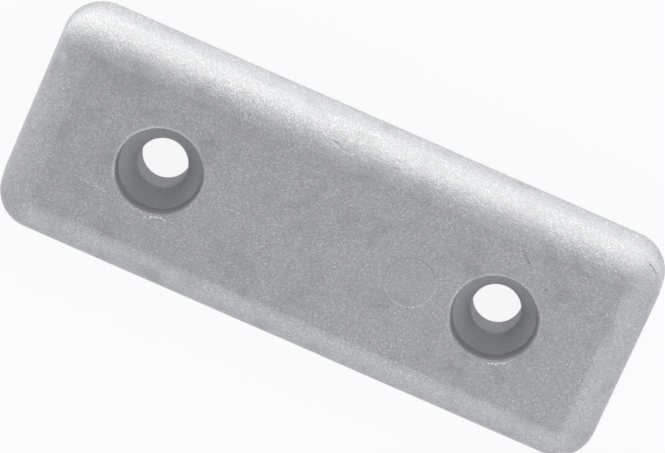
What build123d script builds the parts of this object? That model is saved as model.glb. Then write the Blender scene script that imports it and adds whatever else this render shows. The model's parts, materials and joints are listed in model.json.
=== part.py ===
"""Sacrificial anode: one cast zinc bar with two recessed, countersunk bolt holes.

Millimetres and degrees. The origin is the middle of the flat back face, which is bolted to the hull or the drive.
+X runs along the bar, +Y across it, and +Z out of the exposed face.
"""
import os
from math import radians, tan

from build123d import *

# The bar, with its length and width taken at the back before that edge is broken
length = 137.0
width = 50.8
thickness = 15.9
wall_draft = 4.0  # the side walls lean in towards the face
edge_radius = 8.0  # round between the walls and the face
face_corner_radius = 0.3  # what is left in plan at the corners of the flat face
back_edge_break = 0.4  # narrow chamfer round the back face

# The bolt holes, for flat-head bolts that sit well below the face
hole_spacing = 76.2
hole_count = 2
bore_diameter = 10.5
seat_angle = 82.0  # included angle of the countersunk seat
well_mouth_diameter = 18.5
well_depth = 3.3  # from the face to the rim of the seat
well_draft = 7.0
mouth_radius = 0.6  # round between the face and the well
bore_back_break = 0.8  # chamfer where the bore meets the back face

# The mark of the pin that pushed the casting out of its mould
pin_mark_diameter = 11.0
pin_mark_depth = 0.1
pin_mark_place = 19.0  # along the bar from its middle

# Sizes that follow from those above
face_inset = edge_radius * tan(radians((90 - wall_draft) / 2))  # from the sharp edge to the flat face
back_corner_radius = face_corner_radius + face_inset + thickness * tan(radians(wall_draft))
bore_radius = bore_diameter / 2
well_mouth_radius = well_mouth_diameter / 2
seat_rim_radius = well_mouth_radius - well_depth * tan(radians(well_draft))
seat_depth = (seat_rim_radius - bore_radius) / tan(radians(seat_angle / 2))
seat_rim_height = thickness - well_depth
bore_top_height = seat_rim_height - seat_depth


# One bolt hole as a solid of revolution, from the back face up to the mouth of the well
with BuildPart() as bolt_hole:
    with BuildSketch(Plane.XZ):
        with BuildLine():
            Polyline(
                (0, 0),
                (bore_radius + bore_back_break, 0),
                (bore_radius, bore_back_break),
                (bore_radius, bore_top_height),
                (seat_rim_radius, seat_rim_height),
                (well_mouth_radius, thickness),
                (0, thickness),
                close=True,
            )
        make_face()
    revolve(axis=Axis.Z)


with BuildPart() as anode_casting:
    # Drafted block, rounded in plan
    with BuildSketch():
        RectangleRounded(length, width, back_corner_radius)
    extrude(amount=thickness, taper=wall_draft)

    # The large round that runs into a ball at each corner
    face_outline = anode_casting.faces().sort_by(Axis.Z)[-1].edges()
    fillet(face_outline, radius=edge_radius)

    # The narrow break round the back
    back_outline = anode_casting.faces().sort_by(Axis.Z)[0].edges()
    chamfer(back_outline, length=back_edge_break)

    # Bolt holes in a row along the middle, each with a rounded mouth
    with GridLocations(hole_spacing, 0, hole_count, 1):
        add(bolt_hole.part, mode=Mode.SUBTRACT)
    mouths = anode_casting.faces().sort_by(Axis.Z)[-1].inner_wires().edges()
    fillet(mouths, radius=mouth_radius)

    # Shallow round pin mark in the face
    with BuildSketch(Plane.XY.offset(thickness)):
        with Locations((pin_mark_place, 0)):
            Circle(pin_mark_diameter / 2)
    extrude(amount=-pin_mark_depth, mode=Mode.SUBTRACT)

anode_casting.part.label = "anode_casting"

os.makedirs("parts", exist_ok=True)
export_step(anode_casting.part, "parts/anode_casting.step")
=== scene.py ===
"""Looks of a bar-shaped zinc anode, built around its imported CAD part.

Metres, in the part's own frame: +X along the bar, +Y across it, +Z out of the exposed face, with the
back face on z = 0. The bar is one closed skin: walls and rounds carried round a rectangle, flat faces
laid out in cells, and two turned bolt holes, with the unevenness of the casting pressed into it.
"""

import json
from math import ceil, cos, pi, radians, sin, tan

import bmesh
import bpy
import numpy as np
from mathutils import Matrix, Vector


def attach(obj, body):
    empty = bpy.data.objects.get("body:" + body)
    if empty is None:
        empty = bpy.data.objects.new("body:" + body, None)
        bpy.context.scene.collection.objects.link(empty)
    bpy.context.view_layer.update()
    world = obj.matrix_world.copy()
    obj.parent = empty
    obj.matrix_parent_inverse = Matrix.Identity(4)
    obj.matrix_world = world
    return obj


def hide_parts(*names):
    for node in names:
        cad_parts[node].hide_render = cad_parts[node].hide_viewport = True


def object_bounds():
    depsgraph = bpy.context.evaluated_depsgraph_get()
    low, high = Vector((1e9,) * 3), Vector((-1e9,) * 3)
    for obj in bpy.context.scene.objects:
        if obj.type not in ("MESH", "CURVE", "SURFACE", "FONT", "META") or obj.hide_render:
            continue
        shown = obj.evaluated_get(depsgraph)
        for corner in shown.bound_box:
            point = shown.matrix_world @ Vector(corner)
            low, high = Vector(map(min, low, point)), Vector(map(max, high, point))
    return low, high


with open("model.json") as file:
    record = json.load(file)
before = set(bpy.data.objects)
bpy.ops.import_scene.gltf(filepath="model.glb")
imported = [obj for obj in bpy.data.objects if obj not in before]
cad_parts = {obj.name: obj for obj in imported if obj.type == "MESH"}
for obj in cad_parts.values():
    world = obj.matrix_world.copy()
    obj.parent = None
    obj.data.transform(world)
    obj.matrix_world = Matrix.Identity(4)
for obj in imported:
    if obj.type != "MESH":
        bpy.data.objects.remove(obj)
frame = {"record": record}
cad_low, cad_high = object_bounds()
mm = 0.001

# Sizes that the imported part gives
mounts = {mount["name"]: mount for mount in frame["record"]["mounts"]}
hole_spacing = mounts["bolt_holes"]["dims"]["spacing_x_mm"] * mm
bore_radius = mounts["bolt_holes"]["dims"]["hole_r_mm"] * mm
thickness = cad_high.z

# Sizes of the walls and rounds
wall_draft = radians(4)
edge_radius = 8 * mm
face_corner_radius = 0.3 * mm
back_edge_break = 0.4 * mm
worn_edge_radius = 0.15 * mm

# Sizes of the bolt holes and of the pin mark
seat_angle = radians(82)
well_mouth_radius = 9.25 * mm
well_depth = 3.3 * mm
well_draft = radians(7)
mouth_radius = 0.7 * mm
seat_rim_radius = 0.4 * mm
bore_lip_radius = 1.2 * mm
bore_back_break = 0.8 * mm
pin_mark_radius = 5.5 * mm
pin_mark_depth = 0.1 * mm
pin_mark_slope = 0.14 * mm
pin_mark_x = 19 * mm

# Sizes that follow from those above
face_inset = edge_radius * tan((pi / 2 - wall_draft) / 2)
back_corner_radius = face_corner_radius + face_inset + thickness * tan(wall_draft)
half_length = cad_high.x + back_edge_break * sin(wall_draft)
half_width = cad_high.y + back_edge_break * sin(wall_draft)
core_x = half_length - back_corner_radius
core_y = half_width - back_corner_radius
hole_x = hole_spacing / 2
well_floor_radius = well_mouth_radius - well_depth * tan(well_draft)
well_floor_height = thickness - well_depth
bore_top_height = well_floor_height - (well_floor_radius - bore_radius) / tan(seat_angle / 2)

# Mesh steps
skin_step = 0.52 * mm
wall_step = 0.8 * mm
back_step = 1.2 * mm
arc_step = radians(15)
corner_steps = 24
cell_rings = 17
back_rings = 11
pin_rings = 13
ring_crowding = 1.2
weld_distance = 0.002 * mm


def unit(vector):
    """The vector at length 1."""
    return vector / np.linalg.norm(vector)


def straight(start, end, step):
    """Points from start to end, evenly spaced, no more than a step apart."""
    count = max(1, ceil(np.linalg.norm(end - start) / step))
    return start + np.linspace(0, 1, count + 1)[:, None] * (end - start)


def rounded_profile(corners, radii, steps):
    """Open line through the corners, with each inner corner rounded to its radius.

    An arc meets both runs at radius / tan(half the corner's angle) from the corner. Its points swing from
    the first spoke to the last: spoke(t) = (sin((1 - t) turn) first + sin(t turn) last) / sin(turn), with
    t from 0 to 1.
    """
    corners = np.array(corners, float)
    pieces = []
    leave = corners[0]
    for before, corner, after, radius, step in zip(corners, corners[1:], corners[2:], radii, steps):
        to_before = unit(before - corner)
        to_after = unit(after - corner)
        half_angle = np.arccos(to_before @ to_after) / 2
        turn = pi - 2 * half_angle
        reach = radius / tan(half_angle)
        centre = corner + unit(to_before + to_after) * radius / sin(half_angle)
        first = corner + to_before * reach - centre
        last = corner + to_after * reach - centre
        arc_count = max(ceil(turn / arc_step), ceil(radius * turn / skin_step))
        t = np.linspace(0, 1, arc_count + 1)[:, None]
        arc = centre + (np.sin((1 - t) * turn) * first + np.sin(t * turn) * last) / sin(turn)
        pieces += [straight(leave, arc[0], step)[:-1], arc[:-1]]
        leave = arc[-1]
    pieces.append(straight(leave, corners[-1], steps[-1]))
    return np.concatenate(pieces)


def carried_round(profile, x_lines, y_lines):
    """Profile of reach and height carried round the rectangle that the lines span.

    Point = C(u) + reach n(u), at the profile's height. C walks the rectangle anticlockwise from its lower
    left corner and stands still at each corner, while the outward direction n turns a quarter circle.
    """
    left, right = x_lines[[0, -1]]
    low, high = y_lines[[0, -1]]
    quarter = np.linspace(0, pi / 2, corner_steps + 1)[1:-1]
    sides = [(x_lines, low), (right, y_lines), (x_lines[::-1], high), (left, y_lines[::-1])]
    corners = [(right, low), (right, high), (left, high), (left, low)]
    walk = []
    for side, (along, corner) in enumerate(zip(sides, corners)):
        facing = (side - 1) * pi / 2
        walk.append(np.stack(np.broadcast_arrays(*along, facing), axis=-1))
        walk.append(np.stack(np.broadcast_arrays(*corner, facing + quarter), axis=-1))
    stand_x, stand_y, angle = np.concatenate(walk).T[:, :, None]
    reach, height = profile.T[:, None, :]
    x = stand_x + reach * np.cos(angle)
    y = stand_y + reach * np.sin(angle)
    return np.stack(np.broadcast_arrays(x, y, height), axis=-1)


def ring_angles(x_lines, y_lines):
    """Even angles round a hole, one for each point on its cell's border, from the lower right corner."""
    upright = len(y_lines) - 1
    count = 2 * (upright + len(x_lines) - 1)
    return (np.arange(count) - upright / 2) * 2 * pi / count


def turned(profile, centre_x, angles):
    """Profile of radius and height turned about an upright axis.

    x = centre + radius cos(angle) and y = radius sin(angle), at the profile's height.
    """
    radius, height = profile.T[:, None, :]
    x = centre_x + radius * np.cos(angles)[:, None]
    y = radius * np.sin(angles)[:, None]
    return np.stack(np.broadcast_arrays(x, y, height), axis=-1)


def holed_cell(centre_x, ring_radius, x_lines, y_lines, rings, height):
    """Flat cell with a round hole.

    Point = (1 - w) ring + w border, with w growing from 0 at the hole to 1, slowest near the hole. The
    border walks the cell's outline anticlockwise from its lower right corner, along the lines.
    """
    left, right = x_lines[[0, -1]]
    low, high = y_lines[[0, -1]]
    sides = [(right, y_lines[:-1]), (x_lines[:0:-1], high), (left, y_lines[:0:-1]), (x_lines[:-1], low)]
    border = np.concatenate([np.stack(np.broadcast_arrays(*side), axis=-1) for side in sides])
    angles = ring_angles(x_lines, y_lines)
    ring = np.stack([centre_x + ring_radius * np.cos(angles), ring_radius * np.sin(angles)], axis=-1)
    w = (np.linspace(0, 1, rings + 1) ** ring_crowding)[:, None]
    plan = (1 - w) * ring[:, None] + w * border[:, None]
    return np.concatenate([plan, np.full(plan.shape[:2] + (1,), height)], axis=-1)


def flat_block(x_lines, y_lines, height):
    """Flat rectangle on the crossings of the lines."""
    x, y = np.meshgrid(x_lines, y_lines, indexing="ij")
    return np.stack([x, y, np.full_like(x, height)], axis=-1)


def lines_between(marks, step):
    """Lines from each mark to the next, about a step apart, with an even number of equal gaps."""
    counts = [2 * round((b - a) / step / 2) for a, b in zip(marks, marks[1:])]
    return [np.linspace(a, b, count + 1) for a, b, count in zip(marks, marks[1:], counts)]


def grid_faces(rows, columns, closed, first):
    """Quads between neighbouring points of a grid, whose last row joins the first where it is closed."""
    index = first + np.arange(rows * columns).reshape(rows, columns)
    if closed:
        index = np.concatenate([index, index[:1]])
    corners = [index[:-1, :-1], index[1:, :-1], index[1:, 1:], index[:-1, 1:]]
    return np.stack(corners, axis=-1).reshape(-1, 4)


def ripple(points, wavelength, seed):
    """Even ripple with a spread of 1: cosine waves of random direction, phase and length, added up."""
    waves = 40
    shortest = 0.7
    longest = 1.4
    rng = np.random.default_rng(seed)
    direction = rng.normal(size=(3, waves))
    direction /= np.linalg.norm(direction, axis=0)
    length = wavelength * rng.uniform(shortest, longest, waves)
    phase = rng.uniform(0, 2 * pi, waves)
    return np.cos(points @ (direction * 2 * pi / length) + phase).sum(axis=1) * np.sqrt(2 / waves)


def pressed_in(points):
    """Depth of the skin under its nominal shape: a slow sag plus two finer ripples, never below 0."""
    mean_depth = 0.03 * mm
    sag = 0.012 * mm * ripple(points, wavelength=30 * mm, seed=11)
    swell = 0.004 * mm * ripple(points, wavelength=7 * mm, seed=12)
    pebble = 0.0025 * mm * ripple(points, wavelength=2.2 * mm, seed=13)
    return np.maximum(mean_depth + sag + swell + pebble, 0)


# The lines of the cells: ends, cells of the two holes, plain middle and the pin mark's cell
pin_cell_half = 7.4 * mm
x_marks = [
    -core_x,
    -hole_x - core_y,
    -hole_x + core_y,
    pin_mark_x - pin_cell_half,
    pin_mark_x + pin_cell_half,
    hole_x + core_y,
    core_x,
]
x_cells = lines_between(x_marks, skin_step)
left_end, left_cell, middle, pin_cell, right_cell, right_end = x_cells
y_lines = lines_between([-core_y, core_y], skin_step)[0]
x_lines = np.concatenate([x_cells[0]] + [cell[1:] for cell in x_cells[1:]])

# Back, break, wall, round and face rim, as reach from the core rectangle and height
skirt = rounded_profile(
    [
        (0, 0),
        (back_corner_radius - back_edge_break, 0),
        (back_corner_radius - back_edge_break * sin(wall_draft), back_edge_break * cos(wall_draft)),
        (face_corner_radius + face_inset, thickness),
        (0, thickness),
    ],
    [worn_edge_radius, worn_edge_radius, edge_radius],
    [back_step, skin_step, wall_step, skin_step],
)

# Mouth, well, seat, bore and back break of a bolt hole, as radius and height
mouth_ring_radius = well_mouth_radius + 1.5 * mouth_radius
back_ring_radius = bore_radius + 2 * bore_back_break
bolt_hole = rounded_profile(
    [
        (mouth_ring_radius, thickness),
        (well_mouth_radius, thickness),
        (well_floor_radius, well_floor_height),
        (bore_radius, bore_top_height),
        (bore_radius, bore_back_break),
        (bore_radius + bore_back_break, 0),
        (back_ring_radius, 0),
    ],
    [mouth_radius, seat_rim_radius, bore_lip_radius, worn_edge_radius, worn_edge_radius],
    [skin_step, skin_step, skin_step, wall_step, skin_step, skin_step],
)

# The same line in three: the mouth's lip, what the bolt's head sinks into, and the bore for its shank
recess_start_height = thickness - 0.8 * mouth_radius
bore_start_height = bore_top_height - 0.3 * bore_lip_radius
recess_start = np.argmax(bolt_hole[:, 1] < recess_start_height)
bore_start = np.argmax(bolt_hole[:, 1] < bore_start_height)
mouth_lip = bolt_hole[:recess_start + 1]
head_recess = bolt_hole[recess_start:bore_start + 1]
shank_bore = bolt_hole[bore_start:]

# Edge and floor of the pin mark, as radius and height
pin_ring_radius = pin_mark_radius + 0.5 * mm
pin_edge_radius = 0.1 * mm
pin_mark = rounded_profile(
    [
        (pin_ring_radius, thickness),
        (pin_mark_radius, thickness),
        (pin_mark_radius - pin_mark_slope, thickness - pin_mark_depth),
        (0, thickness - pin_mark_depth),
    ],
    [pin_edge_radius, pin_edge_radius],
    [skin_step, skin_step, skin_step],
)

# Patches of the skin, each with its finish; closed ones have their last row joined to the first
outside, recess, bore = 0, 1, 2
closed_patches = [
    (carried_round(skirt, x_lines, y_lines), outside),
    (turned(mouth_lip, -hole_x, ring_angles(left_cell, y_lines)), outside),
    (turned(mouth_lip, hole_x, ring_angles(right_cell, y_lines)), outside),
    (turned(head_recess, -hole_x, ring_angles(left_cell, y_lines)), recess),
    (turned(head_recess, hole_x, ring_angles(right_cell, y_lines)), recess),
    (turned(shank_bore, -hole_x, ring_angles(left_cell, y_lines)), bore),
    (turned(shank_bore, hole_x, ring_angles(right_cell, y_lines)), bore),
    (turned(pin_mark, pin_mark_x, ring_angles(pin_cell, y_lines)), outside),
    (holed_cell(-hole_x, mouth_ring_radius, left_cell, y_lines, cell_rings, thickness), outside),
    (holed_cell(hole_x, mouth_ring_radius, right_cell, y_lines, cell_rings, thickness), outside),
    (holed_cell(pin_mark_x, pin_ring_radius, pin_cell, y_lines, pin_rings, thickness), outside),
    (holed_cell(-hole_x, back_ring_radius, left_cell, y_lines, back_rings, 0), outside),
    (holed_cell(hole_x, back_ring_radius, right_cell, y_lines, back_rings, 0), outside),
]
open_patches = [
    (flat_block(left_end, y_lines, thickness), outside),
    (flat_block(middle, y_lines, thickness), outside),
    (flat_block(right_end, y_lines, thickness), outside),
    (flat_block(left_end, y_lines, 0), outside),
    (flat_block(middle, y_lines, 0), outside),
    (flat_block(pin_cell, y_lines, 0), outside),
    (flat_block(right_end, y_lines, 0), outside),
]


def welded_skin(name, closed_patches, open_patches):
    """One mesh of all patches, welded where they meet, faces outwards, with the unevenness pressed in."""
    points = []
    faces = []
    finishes = []
    first = 0
    for patches, closed in ((closed_patches, True), (open_patches, False)):
        for patch, finish in patches:
            rows, columns, _ = patch.shape
            points.append(patch.reshape(-1, 3))
            faces.append(grid_faces(rows, columns, closed, first))
            finishes.append(np.full(len(faces[-1]), finish))
            first += rows * columns
    mesh = bpy.data.meshes.new(name)
    mesh.from_pydata(np.concatenate(points).tolist(), [], np.concatenate(faces).tolist())
    mesh.polygons.foreach_set("material_index", np.concatenate(finishes))
    skin = bmesh.new()
    skin.from_mesh(mesh)
    bmesh.ops.remove_doubles(skin, verts=skin.verts, dist=weld_distance)
    bmesh.ops.recalc_face_normals(skin, faces=skin.faces)
    skin.to_mesh(mesh)
    skin.free()
    count = len(mesh.vertices)
    place = np.empty(count * 3)
    normal = np.empty(count * 3)
    mesh.vertices.foreach_get("co", place)
    mesh.vertices.foreach_get("normal", normal)
    place = place.reshape(-1, 3)
    place -= normal.reshape(-1, 3) * pressed_in(place)[:, None]
    mesh.vertices.foreach_set("co", place.ravel())
    mesh.polygons.foreach_set("use_smooth", np.ones(len(mesh.polygons), bool))
    mesh.update()
    return bpy.data.objects.new(name, mesh)


casting = welded_skin("cast_bar", closed_patches, open_patches)
bpy.context.scene.collection.objects.link(casting)
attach(casting, "root")
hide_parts("anode_casting")


# Socket kinds and settings that many nodes share
vector_kind = "NodeSocketVector"
number_kind = "NodeSocketFloat"
smooth = {"interpolation_type": "SMOOTHSTEP"}
falling = {"To Min": 1.0, "To Max": 0.0}


def new_group(name, inputs, outputs):
    """Empty shader node group with named sockets, given as pairs of name and socket type."""
    group = bpy.data.node_groups.new(name, "ShaderNodeTree")
    for label, kind in inputs:
        group.interface.new_socket(label, in_out="INPUT", socket_type=kind)
    for label, kind in outputs:
        group.interface.new_socket(label, in_out="OUTPUT", socket_type=kind)
    return group, group.nodes.new("NodeGroupInput"), group.nodes.new("NodeGroupOutput")


def add_node(tree, kind, settings=None, values=None):
    """New node with its settings and the values of its input sockets."""
    node = tree.nodes.new(kind)
    for name, value in (settings or {}).items():
        setattr(node, name, value)
    for name, value in (values or {}).items():
        node.inputs[name].default_value = value
    return node


def effect(tree, group, values=None):
    """New node that uses a node group, with the values of its input sockets."""
    return add_node(tree, "ShaderNodeGroup", {"node_tree": group}, values)


def cast_grain_group():
    """Sandy grain of the mould: fine noise plus a broader one, as a height, and the fine grain's tops.

    The tops are the fine noise, spread from 0 to 1 and raised to a power, so that only the highest glint.
    """
    top_sharpness = 2.4
    group, given, result = new_group(
        "cast_grain",
        [("Place", vector_kind), ("Fine", number_kind), ("Broad", number_kind)],
        [("Height", number_kind), ("Tops", number_kind)],
    )
    fine = add_node(group, "ShaderNodeTexNoise", values={"Detail": 2.0, "Roughness": 0.6})
    broad = add_node(group, "ShaderNodeTexNoise", values={"Detail": 1.0, "Roughness": 0.5})
    blend = add_node(group, "ShaderNodeMix", {"data_type": "FLOAT"}, {"Factor": 0.35})
    spread = add_node(group, "ShaderNodeMapRange", values={"From Min": 0.25, "From Max": 0.75})
    tops = add_node(group, "ShaderNodeMath", {"operation": "POWER"})
    tops.inputs[1].default_value = top_sharpness
    group.links.new(given.outputs["Place"], fine.inputs["Vector"])
    group.links.new(given.outputs["Fine"], fine.inputs["Scale"])
    group.links.new(given.outputs["Place"], broad.inputs["Vector"])
    group.links.new(given.outputs["Broad"], broad.inputs["Scale"])
    group.links.new(fine.outputs["Fac"], blend.inputs["A"])
    group.links.new(broad.outputs["Fac"], blend.inputs["B"])
    group.links.new(fine.outputs["Fac"], spread.inputs["Value"])
    group.links.new(spread.outputs["Result"], tops.inputs[0])
    group.links.new(blend.outputs["Result"], result.inputs["Height"])
    group.links.new(tops.outputs["Value"], result.inputs["Tops"])
    return group


def oxide_bloom_group():
    """Uneven grey film on bare zinc: slow noise, as a share from 0 to 1."""
    group, given, result = new_group(
        "oxide_bloom",
        [("Place", vector_kind), ("Patches", number_kind)],
        [("Share", number_kind)],
    )
    cloud = add_node(group, "ShaderNodeTexNoise", values={"Detail": 4.0, "Roughness": 0.6})
    spread = add_node(group, "ShaderNodeMapRange", values={"From Min": 0.3, "From Max": 0.7})
    group.links.new(given.outputs["Place"], cloud.inputs["Vector"])
    group.links.new(given.outputs["Patches"], cloud.inputs["Scale"])
    group.links.new(cloud.outputs["Fac"], spread.inputs["Value"])
    group.links.new(spread.outputs["Result"], result.inputs["Share"])
    return group


# Its share lightens the rounds and walls of the zinc: partly rubbed wear, partly painted light.
def rubbed_and_lit_round_group():
    """Where the skin leaves the flat: share 0 where it faces straight up or down, 1 from a given lean on.

    The lean is 1 minus the size of the upright part of the surface's direction.
    """
    group, given, result = new_group(
        "rubbed_and_lit_round",
        [("Direction", vector_kind), ("Full At", number_kind)],
        [("Share", number_kind)],
    )
    parts = add_node(group, "ShaderNodeSeparateXYZ")
    size = add_node(group, "ShaderNodeMath", {"operation": "ABSOLUTE"})
    lean = add_node(group, "ShaderNodeMath", {"operation": "SUBTRACT"})
    lean.inputs[0].default_value = 1.0
    share = add_node(group, "ShaderNodeMapRange", smooth)
    group.links.new(given.outputs["Direction"], parts.inputs["Vector"])
    group.links.new(parts.outputs["Z"], size.inputs[0])
    group.links.new(size.outputs["Value"], lean.inputs[1])
    group.links.new(lean.outputs["Value"], share.inputs["Value"])
    group.links.new(given.outputs["Full At"], share.inputs["From Max"])
    group.links.new(share.outputs["Result"], result.inputs["Share"])
    return group


def draw_marks_and_wall_shading_group():
    """Skin of the steep walls, which the mould rubbed as it let go, with faint level lines in it.
    The tint laid on through this share is painted light where it lightens the walls and painted shade
    where it darkens them.

    The lines are noise that changes with height far faster than along the wall. The share is full where
    the surface stands within about 9 degrees of upright, and 0 from 30 degrees on.
    """
    group, given, result = new_group(
        "draw_marks_and_wall_shading",
        [("Place", vector_kind), ("Direction", vector_kind)],
        [("Share", number_kind)],
    )
    stretch = add_node(group, "ShaderNodeMapping", values={"Scale": (50, 50, 1600)})
    lines = add_node(group, "ShaderNodeTexNoise", values={"Scale": 1.0, "Detail": 3.0, "Roughness": 0.6})
    line_range = {"From Min": 0.35, "From Max": 0.65, "To Min": 0.6}
    spread = add_node(group, "ShaderNodeMapRange", values=line_range)
    parts = add_node(group, "ShaderNodeSeparateXYZ")
    size = add_node(group, "ShaderNodeMath", {"operation": "ABSOLUTE"})
    steep = add_node(group, "ShaderNodeMapRange", smooth, {"From Min": 0.5, "From Max": 0.15})
    share = add_node(group, "ShaderNodeMath", {"operation": "MULTIPLY"})
    group.links.new(given.outputs["Place"], stretch.inputs["Vector"])
    group.links.new(stretch.outputs["Vector"], lines.inputs["Vector"])
    group.links.new(lines.outputs["Fac"], spread.inputs["Value"])
    group.links.new(given.outputs["Direction"], parts.inputs["Vector"])
    group.links.new(parts.outputs["Z"], size.inputs[0])
    group.links.new(size.outputs["Value"], steep.inputs["Value"])
    group.links.new(spread.outputs["Result"], share.inputs[0])
    group.links.new(steep.outputs["Result"], share.inputs[1])
    group.links.new(share.outputs["Value"], result.inputs["Share"])
    return group


def blow_holes_group():
    """Small gas pits, thinly scattered: one in each cell, of a random reach, seen where the skin cuts it.

    The reach is a random number from 0 to 1, raised to a power so that few are large, times the largest.
    """
    rarity = 2.0
    group, given, result = new_group(
        "blow_holes",
        [("Place", vector_kind), ("Cells", number_kind), ("Reach", number_kind)],
        [("Share", number_kind)],
    )
    scatter = add_node(group, "ShaderNodeTexVoronoi")
    parts = add_node(group, "ShaderNodeSeparateXYZ")
    odds = add_node(group, "ShaderNodeMath", {"operation": "POWER"})
    odds.inputs[1].default_value = rarity
    reach = add_node(group, "ShaderNodeMath", {"operation": "MULTIPLY"})
    share = add_node(group, "ShaderNodeMapRange", smooth, falling)
    group.links.new(given.outputs["Place"], scatter.inputs["Vector"])
    group.links.new(given.outputs["Cells"], scatter.inputs["Scale"])
    group.links.new(scatter.outputs["Color"], parts.inputs["Vector"])
    group.links.new(parts.outputs["X"], odds.inputs[0])
    group.links.new(odds.outputs["Value"], reach.inputs[0])
    group.links.new(given.outputs["Reach"], reach.inputs[1])
    group.links.new(scatter.outputs["Distance"], share.inputs["Value"])
    group.links.new(reach.outputs["Value"], share.inputs["From Max"])
    group.links.new(share.outputs["Result"], result.inputs["Share"])
    return group


def stroke_group():
    """A narrow stroke: share 1 on the line from a start along a run, falling to 0 at its half width.

    The nearest point of the line lies at t = (place - start) . run / run . run, kept between 0 and 1.
    """
    group, given, result = new_group(
        "stroke",
        [
            ("Place", vector_kind),
            ("Start", vector_kind),
            ("Run", vector_kind),
            ("Half Width", number_kind),
        ],
        [("Share", number_kind)],
    )
    offset = add_node(group, "ShaderNodeVectorMath", {"operation": "SUBTRACT"})
    along = add_node(group, "ShaderNodeVectorMath", {"operation": "DOT_PRODUCT"})
    whole = add_node(group, "ShaderNodeVectorMath", {"operation": "DOT_PRODUCT"})
    t = add_node(group, "ShaderNodeMath", {"operation": "DIVIDE", "use_clamp": True})
    foot = add_node(group, "ShaderNodeVectorMath", {"operation": "SCALE"})
    gap = add_node(group, "ShaderNodeVectorMath", {"operation": "DISTANCE"})
    share = add_node(group, "ShaderNodeMapRange", smooth, falling)
    group.links.new(given.outputs["Place"], offset.inputs[0])
    group.links.new(given.outputs["Start"], offset.inputs[1])
    group.links.new(offset.outputs["Vector"], along.inputs[0])
    group.links.new(given.outputs["Run"], along.inputs[1])
    group.links.new(given.outputs["Run"], whole.inputs[0])
    group.links.new(given.outputs["Run"], whole.inputs[1])
    group.links.new(along.outputs["Value"], t.inputs[0])
    group.links.new(whole.outputs["Value"], t.inputs[1])
    group.links.new(given.outputs["Run"], foot.inputs["Vector"])
    group.links.new(t.outputs["Value"], foot.inputs["Scale"])
    group.links.new(offset.outputs["Vector"], gap.inputs[0])
    group.links.new(foot.outputs["Vector"], gap.inputs[1])
    group.links.new(gap.outputs["Value"], share.inputs["Value"])
    group.links.new(given.outputs["Half Width"], share.inputs["From Max"])
    group.links.new(share.outputs["Result"], result.inputs["Share"])
    return group


def strokes_group(name, marks):
    """All strokes of one kind, from start and end in millimetres and half width; the strongest shows."""
    group, given, result = new_group(name, [("Place", vector_kind)], [("Share", number_kind)])
    strongest = None
    for start, end, half_width in marks:
        mark = effect(group, stroke, {"Half Width": half_width * mm})
        mark.inputs["Start"].default_value = Vector(start) * mm
        mark.inputs["Run"].default_value = (Vector(end) - Vector(start)) * mm
        group.links.new(given.outputs["Place"], mark.inputs["Place"])
        share = mark.outputs["Share"]
        if strongest is not None:
            larger = add_node(group, "ShaderNodeMath", {"operation": "MAXIMUM"})
            group.links.new(strongest, larger.inputs[0])
            group.links.new(share, larger.inputs[1])
            share = larger.outputs["Value"]
        strongest = share
    group.links.new(strongest, result.inputs["Share"])
    return group


def ring_line_group():
    """A thin round line about a centre: share 1 at a given radius, falling to 0 at its half width.

    It fades out about 1 mm below the centre. Upper and Lower are its two halves, towards the upper left
    of the face and away from it, which run into each other.
    """
    upper_left = (-0.5, 0.87, 0)
    blend_reach = 2 * mm
    group, given, result = new_group(
        "ring_line",
        [
            ("Place", vector_kind),
            ("Centre", vector_kind),
            ("Radius", number_kind),
            ("Half Width", number_kind),
        ],
        [("Upper", number_kind), ("Lower", number_kind)],
    )
    offset = add_node(group, "ShaderNodeVectorMath", {"operation": "SUBTRACT"})
    level = add_node(group, "ShaderNodeVectorMath", {"operation": "MULTIPLY"})
    level.inputs[1].default_value = (1, 1, 0)
    reach = add_node(group, "ShaderNodeVectorMath", {"operation": "LENGTH"})
    off = add_node(group, "ShaderNodeMath", {"operation": "SUBTRACT"})
    gap = add_node(group, "ShaderNodeMath", {"operation": "ABSOLUTE"})
    share = add_node(group, "ShaderNodeMapRange", smooth, falling)
    ahead = add_node(group, "ShaderNodeVectorMath", {"operation": "DOT_PRODUCT"})
    ahead.inputs[1].default_value = upper_left
    side_range = {"From Min": -blend_reach, "From Max": blend_reach}
    side = add_node(group, "ShaderNodeMapRange", smooth, side_range)
    parts = add_node(group, "ShaderNodeSeparateXYZ")
    near = add_node(group, "ShaderNodeMapRange", values={"From Min": -1.2 * mm, "From Max": -0.8 * mm})
    line = add_node(group, "ShaderNodeMath", {"operation": "MULTIPLY"})
    upper = add_node(group, "ShaderNodeMath", {"operation": "MULTIPLY"})
    lower = add_node(group, "ShaderNodeMath", {"operation": "SUBTRACT"})
    group.links.new(given.outputs["Place"], offset.inputs[0])
    group.links.new(given.outputs["Centre"], offset.inputs[1])
    group.links.new(offset.outputs["Vector"], level.inputs[0])
    group.links.new(level.outputs["Vector"], reach.inputs[0])
    group.links.new(reach.outputs["Value"], off.inputs[0])
    group.links.new(given.outputs["Radius"], off.inputs[1])
    group.links.new(off.outputs["Value"], gap.inputs[0])
    group.links.new(gap.outputs["Value"], share.inputs["Value"])
    group.links.new(given.outputs["Half Width"], share.inputs["From Max"])
    group.links.new(offset.outputs["Vector"], parts.inputs["Vector"])
    group.links.new(parts.outputs["Z"], near.inputs["Value"])
    group.links.new(share.outputs["Result"], line.inputs[0])
    group.links.new(near.outputs["Result"], line.inputs[1])
    group.links.new(level.outputs["Vector"], ahead.inputs[0])
    group.links.new(ahead.outputs["Value"], side.inputs["Value"])
    group.links.new(line.outputs["Value"], upper.inputs[0])
    group.links.new(side.outputs["Result"], upper.inputs[1])
    group.links.new(line.outputs["Value"], lower.inputs[0])
    group.links.new(upper.outputs["Value"], lower.inputs[1])
    group.links.new(upper.outputs["Value"], result.inputs["Upper"])
    group.links.new(lower.outputs["Value"], result.inputs["Lower"])
    return group


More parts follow.
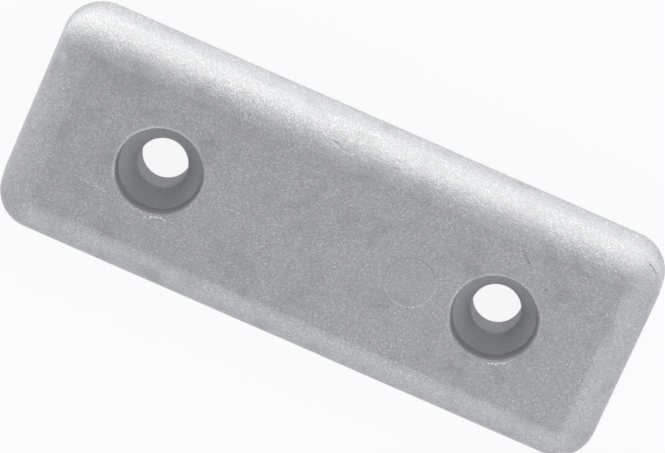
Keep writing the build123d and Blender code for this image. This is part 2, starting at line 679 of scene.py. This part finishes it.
def shaded(tree, colour, share, tint):
    """Colour multiplied by a tint, as far as the share says."""
    settings = {"data_type": "RGBA", "blend_type": "MULTIPLY", "clamp_result": True}
    blend = add_node(tree, "ShaderNodeMix", settings)
    blend.inputs["B"].default_value = (tint, tint, tint, 1)
    tree.links.new(colour, blend.inputs["A"])
    tree.links.new(share, blend.inputs["Factor"])
    return blend.outputs["Result"]


def sunk(tree, height, share, depth):
    """Height less a depth, as far as the share says."""
    lower = add_node(tree, "ShaderNodeMath", {"operation": "MULTIPLY_ADD"})
    lower.inputs[1].default_value = -depth
    tree.links.new(share, lower.inputs[0])
    tree.links.new(height, lower.inputs[2])
    return lower.outputs["Value"]


# What all finishes of the zinc share: metal, grain, film, rounds lightened partly by rub and partly by
# painted light, and pits
metal_share = 0.7
fine_grain = 2600.0
broad_grain = 900.0
film_patches = 160.0
rubbed_and_lit_lean = 0.005
pit_cells = 170.0
pit_reach = 0.06
thin_film_weight = 0.5
full_film_weight = 0.06

# Tints of the marks in it, of its painted glints, painted highlights and painted shade, and how far the
# marks sink, as shares of the grain's depth
pit_tint = 0.55
nick_tint = 0.6
score_and_highlight_tint = 1.3
glint_tint = 1.8
shaded_pin_tint = 0.75
lit_tint = 1.2
shaded_rim_tint = 0.72
pit_sink = 0.6
nick_sink = 0.8
score_sink = 0.3

# Lines round the pin mark and round the mouths of the holes, which carry painted shade on one half and a
# painted highlight on the other
pin_line = {
    "Centre": (pin_mark_x, -0.15 * mm, thickness),
    "Radius": pin_mark_radius - pin_mark_slope / 2,
    "Half Width": 0.3 * mm,
}
left_line = {
    "Centre": (-hole_x, 0, thickness),
    "Radius": well_mouth_radius + 0.15 * mm,
    "Half Width": 0.35 * mm,
}
right_line = {**left_line, "Centre": (hole_x, 0, thickness)}


def zinc_material(name, bright, dull, rub_and_light, wall, roughness, grain_depth):
    """Bare cast zinc: a metal with a sandy grain under an uneven grey film, with pits and scratches, and
    with painted highlights, glints and painted shade on its rounds, walls and edges.

    The grain's tops and the film mix a dull and a bright colour. The first two tints are for rounds and
    for
    steep walls: the rounds' tint is partly rubbed wear and partly painted light; the walls' tint is
    painted light where above 1 and painted shade where below 1. The two roughnesses are for skin without
    and with the film.
    """
    material = bpy.data.materials.new(name)
    material.use_nodes = True
    tree = material.node_tree
    surface = tree.nodes["Principled BSDF"]
    surface.inputs["Metallic"].default_value = metal_share
    place = add_node(tree, "ShaderNodeTexCoord")
    sand = effect(tree, cast_grain, {"Fine": fine_grain, "Broad": broad_grain})
    film = effect(tree, oxide_bloom, {"Patches": film_patches})
    edge = effect(tree, rubbed_and_lit_round, {"Full At": rubbed_and_lit_lean})
    walls = effect(tree, draw_marks_and_wall_shading)
    pits = effect(tree, blow_holes, {"Cells": pit_cells, "Reach": pit_reach})
    nicks = effect(tree, dark_nicks)
    scores = effect(tree, bright_scores_and_nick_highlights)
    glints = effect(tree, rim_glints)
    pin_edge = effect(tree, ring_line, pin_line)
    rims = [effect(tree, ring_line, line) for line in (left_line, right_line)]
    for node in (sand, film, walls, pits, nicks, scores, glints, pin_edge, *rims):
        tree.links.new(place.outputs["Object"], node.inputs["Place"])
    for node in (edge, walls):
        tree.links.new(place.outputs["Normal"], node.inputs["Direction"])
    weights = {"To Min": thin_film_weight, "To Max": full_film_weight}
    cover = add_node(tree, "ShaderNodeMapRange", values=weights)
    shade = add_node(tree, "ShaderNodeMix", {"data_type": "FLOAT"})
    tree.links.new(film.outputs["Share"], cover.inputs["Value"])
    tree.links.new(cover.outputs["Result"], shade.inputs["Factor"])
    tree.links.new(sand.outputs["Tops"], shade.inputs["A"])
    tree.links.new(film.outputs["Share"], shade.inputs["B"])
    zinc = add_node(tree, "ShaderNodeMix", {"data_type": "RGBA"})
    zinc.inputs["A"].default_value = dull
    zinc.inputs["B"].default_value = bright
    tree.links.new(shade.outputs["Result"], zinc.inputs["Factor"])
    # Lighter rounds and walls: partly rubbed wear, partly painted light.
    colour = shaded(tree, zinc.outputs["Result"], edge.outputs["Share"], rub_and_light)
    # Steep walls: level lines, with painted light where the wall tint is above 1 and painted shade where
    # it is below 1.
    colour = shaded(tree, colour, walls.outputs["Share"], wall)
    colour = shaded(tree, colour, pits.outputs["Share"], pit_tint)
    colour = shaded(tree, colour, nicks.outputs["Share"], nick_tint)
    # Bright scratches, and painted highlights beside two nicks.
    colour = shaded(tree, colour, scores.outputs["Share"], score_and_highlight_tint)
    # Painted glints: bright specks just below the mouths' rims.
    colour = shaded(tree, colour, glints.outputs["Share"], glint_tint)
    # Painted shade on the upper half of the pin mark's edge, painted highlight on its lower half.
    colour = shaded(tree, colour, pin_edge.outputs["Upper"], shaded_pin_tint)
    colour = shaded(tree, colour, pin_edge.outputs["Lower"], lit_tint)
    # Painted highlight on the upper half of each mouth's rim, painted shade on its lower half.
    for rim in rims:
        colour = shaded(tree, colour, rim.outputs["Upper"], lit_tint)
        colour = shaded(tree, colour, rim.outputs["Lower"], shaded_rim_tint)
    tree.links.new(colour, surface.inputs["Base Color"])
    smoothest, roughest = roughness
    gloss = add_node(tree, "ShaderNodeMapRange", values={"To Min": smoothest, "To Max": roughest})
    tree.links.new(film.outputs["Share"], gloss.inputs["Value"])
    tree.links.new(gloss.outputs["Result"], surface.inputs["Roughness"])
    height = sunk(tree, sand.outputs["Height"], pits.outputs["Share"], pit_sink)
    height = sunk(tree, height, nicks.outputs["Share"], nick_sink)
    height = sunk(tree, height, scores.outputs["Share"], score_sink)
    bump = add_node(tree, "ShaderNodeBump", values={"Strength": 1.0, "Distance": grain_depth})
    tree.links.new(height, bump.inputs["Height"])
    tree.links.new(bump.outputs["Normal"], surface.inputs["Normal"])
    return material


def lighter_throat(material, start, full, lift):
    """Tint that rises from 1 to lift between two heights, so that a finish runs into the one below it."""
    tree = material.node_tree
    surface = tree.nodes["Principled BSDF"]
    place = add_node(tree, "ShaderNodeTexCoord")
    parts = add_node(tree, "ShaderNodeSeparateXYZ")
    share = add_node(tree, "ShaderNodeMapRange", smooth, {"From Min": start, "From Max": full})
    tree.links.new(place.outputs["Object"], parts.inputs["Vector"])
    tree.links.new(parts.outputs["Z"], share.inputs["Value"])
    plain = surface.inputs["Base Color"].links[0].from_socket
    colour = shaded(tree, plain, share.outputs["Result"], lift)
    tree.links.new(colour, surface.inputs["Base Color"])


# Nicks and scratches in the skin, painted highlights beside two nicks, and bright specks below the mouths
# painted as glints, as start and end in millimetres and half width
dark_nick_marks = [
    ((37.6, 16.2, 15.9), (40.3, 13.6, 15.9), 0.12),
    ((45.4, 10.2, 15.9), (45.6, 10.4, 15.9), 0.25),
    ((-43.4, -16.9, 15.9), (-43.85, -17.7, 15.83), 0.08),
    ((-39.2, -21.1, 14.4), (-38.9, -21.1, 14.4), 0.28),
    ((16.8, 20.0, 15.1), (17.3, 20.0, 15.1), 0.25),
    ((-7.6, 21.1, 14.63), (-6.3, 20.8, 14.8), 0.15),
    ((-5.8, 20.6, 14.9), (-4.2, 20.2, 15.08), 0.12),
    ((4.0, 20.8, 14.8), (5.1, 20.85, 14.77), 0.1),
    ((6.0, 20.85, 14.77), (7.3, 20.9, 14.75), 0.12),
    ((-16.6, 24.9, 8.47), (-14.8, 24.9, 8.47), 0.3),
    ((63.1, 23.1, 11.5), (65.0, 21.8, 11.2), 0.3),
]
# Bright scratches; the third and fourth strokes are painted highlights on the lit edges of two nicks.
bright_score_and_highlight_marks = [
    ((-52.3, -8.1, 15.9), (-50.3, -8.4, 15.9), 0.25),
    ((-49.0, -8.3, 15.9), (-46.4, -8.6, 15.9), 0.28),
    ((-7.6, 20.7, 14.8), (-6.0, 20.4, 15.0), 0.25),
    ((62.7, 22.8, 11.9), (64.4, 21.5, 11.7), 0.3),
]
# Bright specks below the mouths: painted glints.
rim_glint_marks = [
    ((-37.0, -10.2, 15.9), (-36.8, -10.15, 15.9), 0.28),
    ((-35.9, -9.75, 15.9), (-35.7, -9.65, 15.9), 0.34),
    ((-35.2, -9.45, 15.9), (-34.4, -9.3, 15.9), 0.2),
    ((-33.9, -9.1, 15.9), (-33.7, -9.05, 15.9), 0.3),
    ((-33.1, -9.25, 15.9), (-32.9, -9.15, 15.9), 0.3),
    ((40.9, -9.5, 15.9), (41.1, -9.45, 15.9), 0.24),
    ((41.6, -9.2, 15.9), (41.9, -9.0, 15.9), 0.3),
    ((42.3, -9.05, 15.9), (42.5, -8.95, 15.9), 0.28),
    ((42.7, -8.6, 15.9), (42.95, -8.5, 15.9), 0.3),
    ((43.5, -8.25, 15.9), (43.65, -8.15, 15.9), 0.24),
    ((43.9, -8.05, 15.9), (44.1, -7.95, 15.9), 0.24),
]

cast_grain = cast_grain_group()
oxide_bloom = oxide_bloom_group()
rubbed_and_lit_round = rubbed_and_lit_round_group()
draw_marks_and_wall_shading = draw_marks_and_wall_shading_group()
blow_holes = blow_holes_group()
stroke = stroke_group()
ring_line = ring_line_group()
dark_nicks = strokes_group("dark_nicks", dark_nick_marks)
bright_scores_and_nick_highlights = strokes_group("bright_scores_and_nick_highlights", bright_score_and_highlight_marks)
rim_glints = strokes_group("rim_glints", rim_glint_marks)
# Rub and wall tints above 1: partly rubbed wear and partly painted light on the rounds, painted light on
# the walls.
outside_zinc = zinc_material(
    "as_cast_zinc",
    bright=(0.88, 0.89, 0.925, 1),
    dull=(0.412, 0.422, 0.447, 1),
    rub_and_light=1.12,
    wall=1.12,
    roughness=(0.55, 0.63),
    grain_depth=0.3 * mm,
)
# Wall tint below 1: painted shade on the steep walls of the recess.
recess_zinc = zinc_material(
    "cored_zinc",
    bright=(0.62, 0.63, 0.655, 1),
    dull=(0.435, 0.445, 0.47, 1),
    rub_and_light=1.0,
    wall=0.86,
    roughness=(0.55, 0.65),
    grain_depth=0.2 * mm,
)
# Wall tint above 1: painted light on the bore's wall.
bore_zinc = zinc_material(
    "bored_zinc",
    bright=(0.84, 0.85, 0.88, 1),
    dull=(0.555, 0.565, 0.59, 1),
    rub_and_light=1.0,
    wall=1.06,
    roughness=(0.5, 0.6),
    grain_depth=0.15 * mm,
)
lighter_throat(recess_zinc, start=bore_top_height + 0.5 * mm, full=bore_start_height, lift=1.55)
casting.data.materials.append(outside_zinc)
casting.data.materials.append(recess_zinc)
casting.data.materials.append(bore_zinc)


def mirrored_share(tree, path):
    """1 for rays that come off a glossy surface or through a clear one, else 0."""
    share = add_node(tree, "ShaderNodeMath", {"operation": "ADD", "use_clamp": True})
    tree.links.new(path.outputs["Is Glossy Ray"], share.inputs[0])
    tree.links.new(path.outputs["Is Transmission Ray"], share.inputs[1])
    return share.outputs["Value"]


def pale_floor_material(seen_white, mirrored_white):
    """Matt pale floor that shines white by a share, one for the camera and one for reflections.

    The rest of it is matt, so it still takes shadows.
    """
    material = bpy.data.materials.new("pale_floor")
    material.use_nodes = True
    tree = material.node_tree
    tree.nodes.remove(tree.nodes["Principled BSDF"])
    matt = add_node(tree, "ShaderNodeBsdfDiffuse", values={"Color": (0.9, 0.9, 0.9, 1)})
    white = add_node(tree, "ShaderNodeEmission", values={"Color": (1, 1, 1, 1), "Strength": 1.0})
    path = add_node(tree, "ShaderNodeLightPath")
    mirrored = add_node(tree, "ShaderNodeMath", {"operation": "MULTIPLY"})
    mirrored.inputs[1].default_value = mirrored_white
    share = add_node(tree, "ShaderNodeMath", {"operation": "MULTIPLY_ADD"})
    share.inputs[1].default_value = seen_white
    blend = add_node(tree, "ShaderNodeMixShader")
    tree.links.new(mirrored_share(tree, path), mirrored.inputs[0])
    tree.links.new(path.outputs["Is Camera Ray"], share.inputs[0])
    tree.links.new(mirrored.outputs["Value"], share.inputs[2])
    tree.links.new(share.outputs["Value"], blend.inputs["Fac"])
    tree.links.new(matt.outputs["BSDF"], blend.inputs[1])
    tree.links.new(white.outputs["Emission"], blend.inputs[2])
    tree.links.new(blend.outputs["Shader"], tree.nodes["Material Output"].inputs["Surface"])
    return material


def lamp_holder(name, width, height, radiance, colour):
    """Rectangular lamp of even brightness, not seen by the camera itself."""
    lamp = bpy.data.lights.new(name, "AREA")
    lamp.shape = "RECTANGLE"
    lamp.size = width
    lamp.size_y = height
    lamp.energy = radiance * pi * width * height
    lamp.color = colour
    holder = bpy.data.objects.new(name, lamp)
    holder.visible_camera = False
    bpy.context.scene.collection.objects.link(holder)
    return holder


def soft_light(name, bearing, rise, width, height, radiance, colour=(1, 1, 1)):
    """Lamp turned towards the bar from a bearing, clockwise from +Y, and a rise, both in degrees."""
    holder = lamp_holder(name, width, height, radiance, colour)
    level = lamp_distance * cos(radians(rise))
    up = lamp_distance * sin(radians(rise))
    holder.location = (level * sin(radians(bearing)), level * cos(radians(bearing)), up)
    holder.rotation_euler = (-holder.location).to_track_quat("-Z", "Y").to_euler()


def table_light(name, x, y, width, height, radiance, colour=(1, 1, 1)):
    """Lamp that lies on the floor and shines up, as a brightly lit table top does."""
    holder = lamp_holder(name, width, height, radiance, colour)
    holder.location = (x, y, table_lamp_lift)
    holder.rotation_euler = (pi, 0, 0)


def studio_world(strength, seen_white, mirrored_white):
    """Faint even light from all round, nearly white to the camera, with its own level in reflections."""
    world = bpy.data.worlds.new("studio")
    world.use_nodes = True
    tree = world.node_tree
    background = tree.nodes["Background"]
    background.inputs["Color"].default_value = (1, 1, 1, 1)
    path = add_node(tree, "ShaderNodeLightPath")
    mirrored_range = {"To Min": strength, "To Max": mirrored_white}
    mirrored = add_node(tree, "ShaderNodeMapRange", values=mirrored_range)
    level = add_node(tree, "ShaderNodeMapRange", values={"To Max": seen_white})
    tree.links.new(mirrored_share(tree, path), mirrored.inputs["Value"])
    tree.links.new(mirrored.outputs["Result"], level.inputs["To Min"])
    tree.links.new(path.outputs["Is Camera Ray"], level.inputs["Value"])
    tree.links.new(level.outputs["Result"], background.inputs["Strength"])
    bpy.context.scene.world = world


# Floor, light and camera
floor_half = 2.0
floor_mesh = bpy.data.meshes.new("floor")
floor_drop = 0.02 * mm
floor_corners = [(-1, -1), (1, -1), (1, 1), (-1, 1)]
floor_points = [(x * floor_half, y * floor_half, -floor_drop) for x, y in floor_corners]
floor_mesh.from_pydata(floor_points, [], [(0, 1, 2, 3)])
floor = bpy.data.objects.new("floor", floor_mesh)
floor.data.materials.append(pale_floor_material(seen_white=0.91, mirrored_white=0.41))
bpy.context.scene.collection.objects.link(floor)

lamp_distance = 0.7
table_lamp_lift = 0.5 * mm
warm_white = (1, 0.985, 0.93)
studio_world(strength=0.05, seen_white=0.95, mirrored_white=0.06)
soft_light("back_strip", bearing=-8, rise=7, width=0.9, height=0.14, radiance=5.3, colour=warm_white)
soft_light("back_left", bearing=-40, rise=16, width=0.5, height=0.3, radiance=0.5, colour=warm_white)
soft_light("back_right", bearing=55, rise=26, width=0.5, height=0.3, radiance=0.95)
soft_light("back_high", bearing=0, rise=45, width=0.9, height=0.25, radiance=1.85)
soft_light("left", bearing=-95, rise=26, width=0.5, height=0.3, radiance=1.9)
soft_light("right", bearing=95, rise=26, width=0.5, height=0.3, radiance=1.65)
soft_light("front", bearing=180, rise=38, width=0.9, height=0.3, radiance=2.3)
soft_light("front_right", bearing=135, rise=40, width=0.5, height=0.3, radiance=1.6)
table_light("table_near", x=0, y=0.0285, width=0.16, height=0.005, radiance=0.22, colour=warm_white)
table_light("table_back", x=-0.18, y=0.136, width=0.54, height=0.2, radiance=0.95, colour=warm_white)
table_light("table_far", x=0, y=0.5, width=1.2, height=0.5, radiance=2.4, colour=warm_white)
table_light("table_left", x=-0.2, y=0, width=0.2, height=0.4, radiance=0.25, colour=warm_white)
table_light("table_corner", x=-0.12, y=0.06, width=0.1, height=0.08, radiance=0.75, colour=warm_white)

camera_data = bpy.data.cameras.new("photo_camera")
camera_data.sensor_fit = "HORIZONTAL"
camera_data.sensor_width = 36
camera_data.lens = 247.133
camera = bpy.data.objects.new("photo_camera", camera_data)
camera_right = Vector((0.91558, 0.39233, -0.08828))
camera_up = Vector((-0.40102, 0.87444, -0.27302))
camera_back = Vector((-0.02992, 0.28537, 0.95795))
camera_place = Vector((-28.85, 274.87, 924.19)) * mm
camera_turn = Matrix((camera_right, camera_up, camera_back)).transposed().to_4x4()
camera.matrix_world = Matrix.Translation(camera_place) @ camera_turn
bpy.context.scene.collection.objects.link(camera)
bpy.context.scene.camera = camera
bpy.context.scene.view_settings.view_transform = "Standard"
